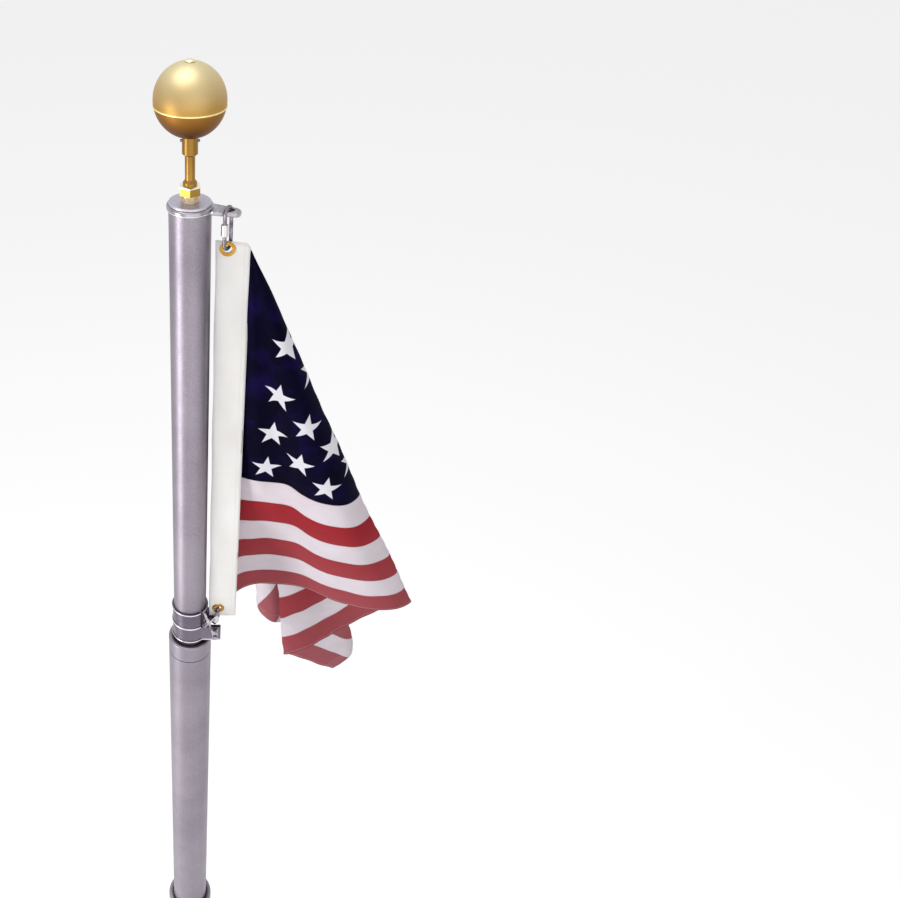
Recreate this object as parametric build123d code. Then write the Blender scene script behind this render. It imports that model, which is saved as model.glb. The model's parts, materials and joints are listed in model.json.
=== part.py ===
from build123d import *
import math
import os

# Telescoping flagpole of three round aluminium sections with a ball finial and a flag.
# Millimetres. Z is up, the origin is the centre of the base's bottom face at ground level,
# the header and the arm point along +X, and the front of the flag faces -Y.

# Tubes: outside diameter and wall of each section
base_tube_dia = 84.5
base_tube_wall = 2.2
middle_tube_dia = 65.0
middle_tube_wall = 2.0
top_tube_dia = 47.6
top_tube_wall = 1.8

# Lengths: how long each section is, how much of the middle one stands out of the base, and how
# far the stop ring under the flag's bands stays above the middle collar
base_section_length = 2000.0
middle_section_length = 2000.0
top_section_length = 2000.0
middle_exposed = 788.0
stop_clearance = 5.1

# Clearances: between sliding pieces, and between pieces that are fixed together
slide_gap = 0.3
fit_gap = 0.1

# Base plug
plug_thickness = 6.0
plug_spigot_length = 30.0
plug_spigot_wall = 6.0

# Guide collars at the upper ends of the base and middle sections
collar_skirt = 31.0
collar_spigot = 24.0
collar_lip_radius = 3.0
collar_groove = 0.8

# Foot bushings at the lower ends of the middle and top sections
bushing_length = 60.0
bushing_chamfer = 1.5

# Lock buttons
button_dia = 13.0
button_reach = 10.0
button_end_chamfer = 2.4
button_flange_dia = 15.2
button_flange_thickness = 1.0
button_drop = 85.0
button_turn = 60.0
button_hole_rim = 0.8

# Top cap
cap_thickness = 2.8
cap_edge_radius = 1.2
cap_neck_dia = 38.0
cap_plug_length = 25.0
cap_plug_wall = 6.0

# Ball stem: threaded boss, hexagon nut, spindle and ball collar
stud_dia = 8.0
stud_depth = 8.0
boss_dia = 19.0
boss_height = 8.2
nut_across_flats = 22.0
nut_height = 10.0
nut_chamfer = 1.6
spindle_dia = 11.0
spindle_foot_dia = 15.5
spindle_foot_height = 3.0
spindle_flare_height = 3.0
ball_collar_dia = 17.0
ball_collar_bottom = 51.0
ball_collar_inside = 5.0
ball_collar_chamfer = 1.6
spindle_socket = 16.0
set_screw_dia = 3.0
set_screw_reach = 2.0
set_screw_height = 15.0

# Ball
ball_dia = 76.2
ball_wall = 1.5
ball_centre_height = 108.0
ball_seam_drop = 4.9
ball_seam_height = 1.2
ball_seam_proud = 0.6
ball_plug_dia = 8.0
ball_plug_head_dia = 11.0
ball_plug_head_height = 1.6

# Upper swivel ring and its arm
swivel_ring_dia = 52.0
swivel_ring_height = 6.4
swivel_ring_edge = 2.0
arm_height = 6.0
arm_slope = 8.5
arm_tube_gap = 1.0
arm_root_radius = 12.5
arm_root_distance = 12.0
arm_end_radius = 8.0
arm_end_distance = 49.0
arm_edge_radius = 1.8
arm_eye_distance = 46.0
arm_eye_dia = 7.2

# Links that hold the header
link_wire_dia = 4.4
link_width = 13.8
link_sleeve_dia = 8.4
link_sleeve_length = 14.0
upper_link_turn = 57.5
upper_link_sit = 1.6
link_rise_in_grommet = 0.4
link_drop_in_grommet = 1.2
link_drop_in_tab = 0.4

# Flag: header and cloth
hoist = 610.0
fly = 914.0
header_width = 37.0
header_thickness = 2.0
header_drop = 44.0
header_distance = 28.5
header_plane = -5.5
grommet_inset = 13.5
grommet_upper_margin = 10.0
grommet_lower_margin = 16.0
grommet_dia = 18.0
grommet_bore_dia = 10.4
grommet_barrel_wall = 0.9
grommet_flange_thickness = 1.1
cloth_thickness = 3.0
cloth_corner_trim = 36.0
cloth_steps = 90
cloth_levels = 5

# Lower swivel band, clamp band and stop ring
band_rise = 21.0
swivel_band_height = 33.0
clamp_band_height = 28.0
band_wall = 1.6
band_bead_radius = 1.5
band_slot_width = 3.0
band_slot_turn = -50.0
tab_thickness = 2.4
tab_root_rise = 6.0
tab_eye_distance = 37.0
tab_eye_drop = 2.0
tab_eye_dia = 7.2
tab_end_radius = 6.5
ear_reach = 46.0
ear_gap = 2.4
ear_thickness = 1.6
ear_plane = -17.0
ear_bolt_distance = 37.5
ear_bolt_spacing = 13.0
ear_bolt_dia = 4.0
ear_bolt_head_dia = 6.6
ear_bolt_head_height = 2.6
ear_nut_across_flats = 7.0
ear_nut_height = 3.0
ear_bolt_end = 1.5
clip_left = 21.5
clip_right = 39.5
clip_bar_width = 3.4
clip_thickness = 1.5
clip_plate_half_width = 4.2
clip_upper_right_drop = 6.0
stop_ring_height = 2.0
stop_ring_wall = 2.4

# Levels that follow from the sizes above
base_top = base_section_length
middle_top = base_top + middle_exposed
stop_ring_top = middle_top + stop_clearance + stop_ring_height
clamp_band_top = stop_ring_top + slide_gap + clamp_band_height
swivel_band_top = clamp_band_top + fit_gap + swivel_band_height
header_bottom = swivel_band_top - band_rise
header_top = header_bottom + hoist
cap_top = header_top + header_drop
middle_foot = middle_top - middle_section_length
top_foot = cap_top - top_section_length
swivel_ring_top = cap_top - cap_thickness - slide_gap
swivel_ring_bottom = swivel_ring_top - swivel_ring_height
top_tube_end = swivel_ring_bottom - slide_gap
grommet_distance = header_distance + grommet_inset
upper_grommet_height = header_top - grommet_upper_margin
lower_grommet_height = header_bottom + grommet_lower_margin
nut_top = boss_height + nut_height


def turned(outline):
    # A body of revolution about Z from its outline of radius and height
    edge = Polyline([(radius, 0, height) for radius, height in outline], close=True)
    return revolve(make_face(edge), Axis.Z, 360)


def pipe(outer_radius, inner_radius, low, high):
    wall = Circle(outer_radius) - Circle(inner_radius)
    return Pos(0, 0, low) * extrude(wall, high - low)


def post(radius, low, high):
    return Pos(0, 0, low) * extrude(Circle(radius), high - low)


def rod(start, end, diameter):
    # A round bar from one point to another
    along = Vector(end) - Vector(start)
    return extrude(Plane(origin=start, z_dir=along) * Circle(diameter / 2), along.length)


def button_place(level):
    return Pos(0, 0, level) * Rot(0, 0, button_turn)


def holed_tube(diameter, wall, low, high, button_level):
    tube = pipe(diameter / 2, diameter / 2 - wall, low, high)
    hole = rod((0, 0, 0), (diameter, 0, 0), button_dia + 2 * slide_gap)
    rim_start = diameter / 2 - button_hole_rim
    hole_radius = button_dia / 2 + slide_gap
    rim = Plane(origin=(rim_start, 0, 0), z_dir=(1, 0, 0)) * extrude(
        Circle(hole_radius), 2 * button_hole_rim, taper=-45
    )
    return tube - button_place(button_level) * (hole + rim)


def guide_collar(top, outer_dia, outer_wall, inner_dia):
    bore = inner_dia / 2 + slide_gap
    spigot = outer_dia / 2 - outer_wall - fit_gap
    outer = outer_dia / 2
    collar = turned(
        [
            (bore, top - collar_skirt - collar_spigot),
            (spigot, top - collar_skirt - collar_spigot),
            (spigot, top - collar_skirt),
            (outer - collar_groove, top - collar_skirt),
            (outer, top - collar_skirt + collar_groove),
            (outer, top),
            (bore, top),
        ]
    )
    lip = collar.edges().filter_by(GeomType.CIRCLE).group_by(Axis.Z)[-1].sort_by(SortBy.RADIUS)
    return fillet(lip[-1], collar_lip_radius)


def foot_bushing(low, tube_dia, bore_dia):
    inner = tube_dia / 2 + fit_gap
    outer = bore_dia / 2 - slide_gap
    return turned(
        [
            (inner, low),
            (outer - bushing_chamfer, low),
            (outer, low + bushing_chamfer),
            (outer, low + bushing_length - bushing_chamfer),
            (outer - bushing_chamfer, low + bushing_length),
            (inner, low + bushing_length),
        ]
    )


def lock_button(top, tube_dia, tube_wall):
    flange_radius = button_flange_dia / 2
    bore = tube_dia / 2 - tube_wall
    flange_outer = math.sqrt(bore**2 - flange_radius**2) - slide_gap
    flange_inner = flange_outer - button_flange_thickness
    end = tube_dia / 2 + button_reach
    radius = button_dia / 2
    outline = [
        (0, flange_inner),
        (flange_radius, flange_inner),
        (flange_radius, flange_outer),
        (radius, flange_outer),
        (radius, end - button_end_chamfer),
        (radius - button_end_chamfer, end),
        (0, end),
    ]
    body = turned(outline)
    shoulder = body.edges().filter_by(GeomType.CIRCLE).group_by(Axis.Z)[-2]
    body = fillet(shoulder, button_end_chamfer / 2)
    return button_place(top - button_drop) * Rot(0, 90, 0) * body


def base_plug():
    radius = base_tube_dia / 2
    spigot = radius - base_tube_wall - fit_gap
    return turned(
        [
            (0, 0),
            (radius, 0),
            (radius, plug_thickness),
            (spigot, plug_thickness),
            (spigot, plug_thickness + plug_spigot_length),
            (spigot - plug_spigot_wall, plug_thickness + plug_spigot_length),
            (spigot - plug_spigot_wall, plug_thickness),
            (0, plug_thickness),
        ]
    )


def top_cap():
    radius = top_tube_dia / 2
    neck = cap_neck_dia / 2
    plug = radius - top_tube_wall - fit_gap
    plug_end = top_tube_end - cap_plug_length
    cap = turned(
        [
            (stud_dia / 2 + fit_gap, cap_top - stud_depth),
            (stud_dia / 2 + fit_gap, cap_top),
            (radius, cap_top),
            (radius, cap_top - cap_thickness),
            (neck, cap_top - cap_thickness),
            (neck, top_tube_end),
            (plug, top_tube_end),
            (plug, plug_end),
            (plug - cap_plug_wall, plug_end),
            (plug - cap_plug_wall, top_tube_end - cap_thickness),
            (stud_dia / 2 + fit_gap, top_tube_end - cap_thickness),
        ]
    )
    rim = cap.edges().filter_by(GeomType.CIRCLE).group_by(Axis.Z)[-1].sort_by(SortBy.RADIUS)
    return fillet(rim[-1], cap_edge_radius)


def spindle_boss():
    return pipe(boss_dia / 2, stud_dia / 2 + fit_gap, cap_top, cap_top + boss_height)


def spindle_nut():
    low = cap_top + boss_height
    blank = extrude(Rot(0, 0, 30) * RegularPolygon(nut_across_flats / 2, 6, major_radius=False), nut_height)
    corner = nut_across_flats / math.sqrt(3)
    envelope = turned(
        [
            (0, 0),
            (corner, 0),
            (corner, nut_height - nut_chamfer / 2),
            (corner - 2 * nut_chamfer, nut_height),
            (0, nut_height),
        ]
    )
    bore = Cylinder(stud_dia / 2 + fit_gap, 3 * nut_height)
    return Pos(0, 0, low) * ((blank & envelope) - bore)


def ball_spindle():
    stud = stud_dia / 2
    body = spindle_dia / 2
    foot = spindle_foot_dia / 2
    foot_top = nut_top + spindle_foot_height
    return Pos(0, 0, cap_top) * turned(
        [
            (0, -stud_depth),
            (stud, -stud_depth),
            (stud, nut_top),
            (foot, nut_top),
            (foot, foot_top),
            (body, foot_top + spindle_flare_height),
            (body, ball_collar_bottom + spindle_socket - fit_gap),
            (0, ball_collar_bottom + spindle_socket - fit_gap),
        ]
    )


def ball_collar():
    radius = ball_collar_dia / 2
    top = ball_centre_height - ball_dia / 2 + ball_collar_inside
    collar = turned(
        [
            (spindle_dia / 2 + fit_gap, ball_collar_bottom),
            (radius - ball_collar_chamfer, ball_collar_bottom),
            (radius, ball_collar_bottom + ball_collar_chamfer),
            (radius, top),
            (0, top),
            (0, ball_collar_bottom + spindle_socket),
            (spindle_dia / 2 + fit_gap, ball_collar_bottom + spindle_socket),
        ]
    )
    screw_level = ball_collar_bottom + set_screw_height
    holes = rod((-radius * 2, 0, screw_level), (radius * 2, 0, screw_level), set_screw_dia + 2 * fit_gap)
    return Pos(0, 0, cap_top) * (collar - holes)


def collar_screws():
    inner = spindle_dia / 2 + 2 * fit_gap
    outer = ball_collar_dia / 2 + set_screw_reach
    level = cap_top + ball_collar_bottom + set_screw_height
    screws = [rod((side * inner, 0, level), (side * outer, 0, level), set_screw_dia) for side in (-1, 1)]
    return Compound(children=[screw.solid() for screw in screws])


def ball_shell():
    return Sphere(ball_dia / 2) - Sphere(ball_dia / 2 - ball_wall)


def ball_lower_half():
    above = Pos(0, 0, ball_dia - ball_seam_drop) * Box(2 * ball_dia, 2 * ball_dia, 2 * ball_dia)
    shell = ball_shell() - above
    seam_radius = math.sqrt((ball_dia / 2) ** 2 - ball_seam_drop**2)
    bead_low = -ball_seam_drop - ball_seam_height
    bead = pipe(seam_radius + ball_seam_proud, seam_radius - ball_wall, bead_low, -ball_seam_drop)
    neck = Pos(0, 0, -ball_dia / 2) * Cylinder(ball_collar_dia / 2 + fit_gap, ball_dia / 2)
    return Pos(0, 0, cap_top + ball_centre_height) * (shell + bead - neck)


def ball_upper_half():
    below = Pos(0, 0, -ball_dia - ball_seam_drop) * Box(2 * ball_dia, 2 * ball_dia, 2 * ball_dia)
    shell = ball_shell() - below
    hole = Pos(0, 0, ball_dia / 2) * Cylinder(ball_plug_dia / 2 + fit_gap, ball_dia / 2)
    return Pos(0, 0, cap_top + ball_centre_height) * (shell - hole)


def ball_top_plug():
    stem = ball_plug_dia / 2
    head = ball_plug_head_dia / 2
    seat = ball_dia / 2 + fit_gap
    return Pos(0, 0, cap_top + ball_centre_height) * turned(
        [
            (0, seat - 3 * ball_wall),
            (stem, seat - 3 * ball_wall),
            (stem, seat),
            (head, seat),
            (stem, seat + ball_plug_head_height),
            (0, seat + ball_plug_head_height),
        ]
    )


def upper_swivel_ring():
    ring = pipe(swivel_ring_dia / 2, cap_neck_dia / 2 + slide_gap, 0, swivel_ring_height)
    outer_edges = ring.edges().filter_by(GeomType.CIRCLE).sort_by(SortBy.RADIUS)[-2:]
    ring = fillet(outer_edges, swivel_ring_edge)
    root = Pos(arm_root_distance, 0) * Circle(arm_root_radius)
    end = Pos(arm_end_distance, 0) * Circle(arm_end_radius)
    arm = extrude(make_hull([*root.edges(), *end.edges()]), arm_height)
    arm = fillet(arm.faces().filter_by(Axis.Z).edges(), arm_edge_radius)
    eye = Pos(arm_eye_distance, 0, 0) * Cylinder(arm_eye_dia / 2, 4 * swivel_ring_height)
    arm = Pos(0, 0, swivel_ring_height / 2) * Rot(0, arm_slope, 0) * Pos(0, 0, -arm_height / 2) * (arm - eye)
    bore = Cylinder(cap_neck_dia / 2 + slide_gap, 4 * swivel_ring_height)
    tube_room = post(top_tube_dia / 2 + arm_tube_gap, -4 * swivel_ring_height, 0)
    return Pos(0, 0, swivel_ring_bottom) * (ring + (arm - bore - tube_room))


def link_loop(length, width, wire):
    # An oval link standing in the YZ plane, with its lower bow centred on the origin
    straight = length - width
    half = width / 2
    path = Wire(
        [
            Edge.make_line((0, half, 0), (0, half, straight)),
            Edge.make_three_point_arc((0, half, straight), (0, 0, straight + half), (0, -half, straight)),
            Edge.make_line((0, -half, straight), (0, -half, 0)),
            Edge.make_three_point_arc((0, -half, 0), (0, 0, -half), (0, half, 0)),
        ]
    )
    return sweep(Plane(origin=(0, half, straight / 2), z_dir=(0, 0, 1)) * Circle(wire / 2), path)


def sleeve(length, width, wire):
    # Screw sleeve round the front leg of a link, with bevelled ends
    low = (length - width - link_sleeve_length) / 2
    inner = wire / 2 + fit_gap
    outer = link_sleeve_dia / 2
    bevel = (outer - inner) / 2
    return Pos(0, -width / 2, low) * turned(
        [
            (inner, 0),
            (outer - bevel, 0),
            (outer, bevel),
            (outer, link_sleeve_length - bevel),
            (outer - bevel, link_sleeve_length),
            (inner, link_sleeve_length),
        ]
    )


# The upper link hangs from the arm's eye, with its front leg outside the arm
arm_lean = math.radians(arm_slope)
eye_distance = arm_eye_distance * math.cos(arm_lean)
eye_height = swivel_ring_bottom + swivel_ring_height / 2 - arm_eye_distance * math.sin(arm_lean)
arm_top = eye_height + arm_height / 2 * math.cos(arm_lean)
upper_link_bottom = upper_grommet_height + link_rise_in_grommet
upper_link_top = arm_top - upper_link_sit + link_width / 2
upper_link_length = upper_link_top - upper_link_bottom
upper_link_place = Pos(
    eye_distance - math.cos(math.radians(upper_link_turn)) * link_width / 2,
    -math.sin(math.radians(upper_link_turn)) * link_width / 2,
    upper_link_bottom + link_width / 2,
) * Rot(0, 0, upper_link_turn - 90)

# The lower link joins the lower grommet to the tab of the swivel band
tab_plane = header_plane + header_thickness / 2 + slide_gap + fit_gap + tab_thickness / 2
tab_eye_height = swivel_band_top - swivel_band_height - tab_eye_drop
lower_link_low = Vector(tab_eye_distance, header_plane, tab_eye_height)
lower_link_high = Vector(grommet_distance, header_plane, lower_grommet_height)
lower_link_span = lower_link_high - lower_link_low
lower_link_length = lower_link_span.length - link_drop_in_grommet + link_drop_in_tab
lower_link_lean = math.degrees(math.atan2(lower_link_span.X, lower_link_span.Z))
lower_link_place = (
    Pos(*lower_link_low) * Rot(0, lower_link_lean, 0) * Pos(0, 0, link_width / 2 - link_drop_in_tab)
)


def flag_header():
    panel = Pos(header_distance + header_width / 2, header_plane, header_bottom + hoist / 2) * Box(
        header_width, header_thickness, hoist
    )
    hole_radius = grommet_bore_dia / 2 + grommet_barrel_wall + fit_gap
    hole = Rot(90, 0, 0) * Cylinder(hole_radius, 4 * header_thickness)
    for level in (upper_grommet_height, lower_grommet_height):
        panel -= Pos(grommet_distance, header_plane, level) * hole
    return panel


def grommet(level):
    bore = grommet_bore_dia / 2
    barrel = bore + grommet_barrel_wall
    flange = grommet_dia / 2
    seat = header_thickness / 2 + fit_gap
    face = seat + grommet_flange_thickness
    ring = turned(
        [
            (bore, -face),
            (flange - grommet_flange_thickness / 2, -face),
            (flange, -seat),
            (barrel, -seat),
            (barrel, seat),
            (flange, seat),
            (flange - grommet_flange_thickness / 2, face),
            (bore, face),
        ]
    )
    return Pos(grommet_distance, header_plane, level) * Rot(90, 0, 0) * ring


# The cloth hangs from its upper hoist corner in folds that all start there. Each fold line is a
# ray from that corner, named by its angle on the flat flag, from 0 along the header to 90 degrees
# along the top edge. Its direction comes from a smooth curve through these places: sideways and
# backwards, as shares of the drop.
cloth_fly = fly - header_width
fold_places = [
    (0.0, 0.0),
    (0.0, 0.07),
    (0.06, 0.10),
    (0.12, 0.103),
    (0.175, 0.098),
    (0.23, 0.067),
    (0.31, 0.042),
    (0.395, 0.049),
    (0.435, 0.10),
    (0.31, 0.15),
    (0.17, 0.17),
    (0.115, 0.20),
    (0.20, 0.225),
    (0.25, 0.24),
    (0.25, 0.28),
    (0.18, 0.30),
    (0.10, 0.275),
    (0.07, 0.32),
    (0.16, 0.37),
    (0.15, 0.43),
    (0.05, 0.42),
    (-0.02, 0.43),
]
# The front of the flag bellies forward between the corner and the hem: the angle of a ray and how
# far it stands forward halfway down, as a share of the hoist
belly_places = [(0, 0.0), (10, 0.059), (24, 0.085), (38, 0.02), (55, 0.0), (90, 0.0)]
cloth_start_distance = header_distance + header_width + cloth_thickness / 2 + slide_gap
cloth_corner = Vector(cloth_start_distance, header_plane, header_top)


def smooth_curve(places, steps):
    # Points along a Catmull-Rom curve through the places
    padded = [Vector(place) for place in (places[0], *places, places[-1])]
    curve = []
    for a, b, c, d in zip(padded, padded[1:], padded[2:], padded[3:]):
        for step in range(steps):
            t = step / steps
            bend = (a * 2 - b * 5 + c * 4 - d) * t**2 + (b * 3 - a - c * 3 + d) * t**3
            curve.append(b + ((c - a) * t + bend) / 2)
    return [*curve, padded[-1]]


def fold_directions():
    # Unit directions, spaced along the curve so that the flat cloth keeps its angles
    dense = [Vector(place.X, place.Y, -1).normalized() for place in smooth_curve(fold_places, 40)]
    travelled = [0.0]
    for before, after in zip(dense, dense[1:]):
        travelled.append(travelled[-1] + math.acos(min(1.0, before.dot(after))))
    found = []
    position = 0
    for step in range(cloth_steps + 1):
        wanted = travelled[-1] * step / cloth_steps
        while position < len(dense) - 2 and travelled[position + 1] < wanted:
            position += 1
        share = (wanted - travelled[position]) / (travelled[position + 1] - travelled[position])
        found.append((dense[position] * (1 - share) + dense[position + 1] * share).normalized())
    return found


def belly_at(angle):
    for (before, low), (after, high) in zip(belly_places, belly_places[1:]):
        if angle <= after:
            turn = math.pi * (angle - before) / (after - before)
            return hoist * (low + (high - low) * (1 - math.cos(turn)) / 2)


def cloth_place(direction, angle, share):
    # A point in the middle of the cloth, at a share of the way from the corner to the far edge
    turn = math.radians(angle)
    if angle < math.degrees(math.atan2(cloth_fly, hoist)):
        reach = hoist / math.cos(turn)
    else:
        reach = cloth_fly / math.sin(turn)
    belly = belly_at(angle)
    drawn_in = 1 - (math.pi * belly / (2 * reach)) ** 2
    forward = Vector(0, -belly * math.sin(math.pi * share), 0)
    return cloth_corner + direction * (reach * share * drawn_in) + forward


def cloth_skin(middle, side):
    # The rows of points on one face of the cloth, half its thickness from the middle
    skin = []
    for level, row in enumerate(middle):
        above = middle[max(level - 1, 0)]
        below = middle[min(level + 1, cloth_levels)]
        places = []
        for step, point in enumerate(row):
            across = row[min(step + 1, cloth_steps)] - row[max(step - 1, 0)]
            down = below[step] - above[step]
            places.append(point + across.cross(down).normalized() * (side * cloth_thickness / 2))
        skin.append(places)
    return skin


def flag_cloth():
    directions = fold_directions()
    angles = [90 * step / cloth_steps for step in range(cloth_steps + 1)]
    trim = cloth_corner_trim / hoist
    shares = [trim + (1 - trim) * level / cloth_levels for level in range(cloth_levels + 1)]
    middle = [
        [cloth_place(direction, angle, share) for direction, angle in zip(directions, angles)]
        for share in shares
    ]
    corner = round(cloth_steps * math.atan2(cloth_fly, hoist) / (math.pi / 2))
    skins = [cloth_skin(middle, side) for side in (-1, 1)]
    lines = [
        [(Edge.make_spline(row[: corner + 1]), Edge.make_spline(row[corner:])) for row in skin]
        for skin in skins
    ]
    pairs = [pair for skin_lines in lines for pair in zip(skin_lines, skin_lines[1:])]
    pairs += [(lines[0][level], lines[1][level]) for level in (0, -1)]
    faces = [Face.make_surface_from_curves(*edges) for pair in pairs for edges in zip(*pair)]
    for step in (0, -1):
        for level in range(cloth_levels):
            ends = [Edge.make_line(skin[level][step], skin[level + 1][step]) for skin in skins]
            faces.append(Face.make_surface_from_curves(*ends))
    return Solid(Shell(faces))


def banded_ring(low, height, bead_levels):
    inner = top_tube_dia / 2 + slide_gap
    outer = inner + band_wall
    profile = Pos((inner + outer) / 2, height / 2) * Rectangle(band_wall, height)
    for level in bead_levels:
        profile += Pos(outer, level) * Circle(band_bead_radius)
    profile -= Pos(inner / 2, height / 2) * Rectangle(inner, 2 * height)
    ring = revolve(Plane.XZ * profile, Axis.Z, 360)
    return Pos(0, 0, low) * ring


def lower_swivel_band():
    low = swivel_band_top - swivel_band_height
    band = banded_ring(low, swivel_band_height, (band_bead_radius, swivel_band_height - band_bead_radius))
    slot = Box(top_tube_dia, band_slot_width, 2 * swivel_band_height)
    slot = Rot(0, 0, band_slot_turn) * Pos(top_tube_dia / 2, 0, low) * slot
    root = top_tube_dia / 2 + slide_gap + band_wall / 2
    root_x = math.sqrt(root**2 - tab_plane**2)
    root_low = low + tab_root_rise
    root_high = swivel_band_top - 2 * band_bead_radius
    root_edge = Polyline([(root_x, root_low), (root_x, root_high), (root_x + fit_gap, root_low)], close=True)
    end = Pos(tab_eye_distance, tab_eye_height) * Circle(tab_end_radius)
    eye = Pos(tab_eye_distance, tab_eye_height) * Circle(tab_eye_dia / 2)
    outline = make_hull([*root_edge.edges(), *end.edges()]) - eye
    tab = Pos(0, tab_plane + tab_thickness / 2, 0) * extrude(Plane.XZ * outline, tab_thickness)
    bore = Pos(0, 0, low) * Cylinder(top_tube_dia / 2 + slide_gap, 4 * swivel_band_height)
    return band - slot + (tab - bore)


def lower_clamp_band():
    low = clamp_band_top - clamp_band_height
    band = banded_ring(low, clamp_band_height, (band_bead_radius,))
    inner = top_tube_dia / 2 + slide_gap
    gap = Pos(top_tube_dia / 2, ear_plane, low) * Box(top_tube_dia, ear_gap, 4 * clamp_band_height)
    ears = []
    for side in (-1, 1):
        plane = ear_plane + side * (ear_gap + ear_thickness) / 2
        ears.append(
            Pos(ear_reach / 2, plane, low + clamp_band_height / 2)
            * Box(ear_reach, ear_thickness, clamp_band_height)
        )
    bore = Pos(0, 0, low) * Cylinder(inner, 4 * clamp_band_height)
    body = band - gap + (ears[0] - bore) + (ears[1] - bore)
    for level in ear_bolt_levels():
        body -= ear_bolt_hole(level)
    return body


def stop_ring():
    radius = top_tube_dia / 2
    return pipe(radius + stop_ring_wall, radius + fit_gap, stop_ring_top - stop_ring_height, stop_ring_top)


def ear_bolt_levels():
    centre = clamp_band_top - clamp_band_height / 2
    return (centre - ear_bolt_spacing / 2, centre + ear_bolt_spacing / 2)


def ear_bolt_hole(level):
    start = (ear_bolt_distance, 0, level)
    end = (ear_bolt_distance, 2 * ear_plane, level)
    return rod(start, end, ear_bolt_dia + 2 * fit_gap)


def clip_bar(start, end):
    ends = [Pos(*place) * Circle(clip_bar_width / 2) for place in (start, end)]
    return make_hull([*ends[0].edges(), *ends[1].edges()])


def cross_clip():
    # Two crossed bars in front of the bands, held under the heads of the clamp bolts
    upper = swivel_band_top - band_bead_radius
    lower = swivel_band_top - swivel_band_height + band_bead_radius
    bolts = ear_bolt_levels()
    falling = clip_bar((clip_left, upper), (ear_bolt_distance, bolts[0]))
    rising = clip_bar((clip_left, lower), (clip_right, upper - clip_upper_right_drop))
    plate = Pos(ear_bolt_distance, (bolts[0] + bolts[1]) / 2) * Rectangle(
        2 * clip_plate_half_width, ear_bolt_spacing + 2 * clip_plate_half_width
    )
    outline = falling + rising + plate
    back = ear_plane - ear_gap / 2 - ear_thickness - fit_gap
    clip = Pos(0, back, 0) * extrude(Plane.XZ * outline, clip_thickness)
    for level in bolts:
        clip -= ear_bolt_hole(level)
    return clip


def clamp_bolts():
    front = ear_plane - ear_gap / 2 - ear_thickness - clip_thickness - 2 * fit_gap
    back = ear_plane + ear_gap / 2 + ear_thickness + ear_nut_height + ear_bolt_end
    bolts = []
    for level in ear_bolt_levels():
        shank = rod((ear_bolt_distance, front, level), (ear_bolt_distance, back, level), ear_bolt_dia)
        face = front - ear_bolt_head_height
        head = rod((ear_bolt_distance, face, level), (ear_bolt_distance, front, level), ear_bolt_head_dia)
        bolts.append((shank + head).solid())
    return Compound(children=bolts)


def clamp_nuts():
    start = ear_plane + ear_gap / 2 + ear_thickness + fit_gap
    hexagon = RegularPolygon(ear_nut_across_flats / 2, 6, major_radius=False)
    blank = hexagon - Circle(ear_bolt_dia / 2 + fit_gap)
    nuts = []
    for level in ear_bolt_levels():
        place = Plane(origin=(ear_bolt_distance, start, level), z_dir=(0, 1, 0))
        nuts.append(extrude(place * blank, ear_nut_height).solid())
    return Compound(children=nuts)


pieces = {
    "base_plug": base_plug(),
    "base_tube": holed_tube(
        base_tube_dia, base_tube_wall, plug_thickness, base_top - collar_skirt, base_top - button_drop
    ),
    "base_guide_collar": guide_collar(base_top, base_tube_dia, base_tube_wall, middle_tube_dia),
    "lower_lock_button": lock_button(base_top, base_tube_dia, base_tube_wall),
    "middle_tube": holed_tube(
        middle_tube_dia, middle_tube_wall, middle_foot, middle_top - collar_skirt, middle_top - button_drop
    ),
    "middle_foot_bushing": foot_bushing(middle_foot, middle_tube_dia, base_tube_dia - 2 * base_tube_wall),
    "middle_guide_collar": guide_collar(middle_top, middle_tube_dia, middle_tube_wall, top_tube_dia),
    "upper_lock_button": lock_button(middle_top, middle_tube_dia, middle_tube_wall),
    "top_tube": pipe(top_tube_dia / 2, top_tube_dia / 2 - top_tube_wall, top_foot, top_tube_end),
    "top_foot_bushing": foot_bushing(top_foot, top_tube_dia, middle_tube_dia - 2 * middle_tube_wall),
    "lower_stop_ring": stop_ring(),
    "top_cap": top_cap(),
    "spindle_boss": spindle_boss(),
    "spindle_nut": spindle_nut(),
    "ball_spindle": ball_spindle(),
    "ball_collar": ball_collar(),
    "collar_screws": collar_screws(),
    "ball_lower_half": ball_lower_half(),
    "ball_upper_half": ball_upper_half(),
    "ball_top_plug": ball_top_plug(),
    "upper_swivel_ring": upper_swivel_ring(),
    "upper_link": upper_link_place * link_loop(upper_link_length, link_width, link_wire_dia),
    "upper_link_sleeve": upper_link_place * sleeve(upper_link_length, link_width, link_wire_dia),
    "flag_header": flag_header(),
    "upper_grommet": grommet(upper_grommet_height),
    "lower_grommet": grommet(lower_grommet_height),
    "flag_cloth": flag_cloth(),
    "lower_link": lower_link_place * link_loop(lower_link_length, link_width, link_wire_dia),
    "lower_link_sleeve": lower_link_place * sleeve(lower_link_length, link_width, link_wire_dia),
    "lower_swivel_band": lower_swivel_band(),
    "lower_clamp_band": lower_clamp_band(),
    "cross_clip": cross_clip(),
    "clamp_bolts": clamp_bolts(),
    "clamp_nuts": clamp_nuts(),
}

os.makedirs("parts", exist_ok=True)
for name, piece in pieces.items():
    export_step(piece, f"parts/{name}.step")
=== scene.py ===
import json
import math

import bpy
import numpy as np
from mathutils import Matrix, Vector


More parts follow.
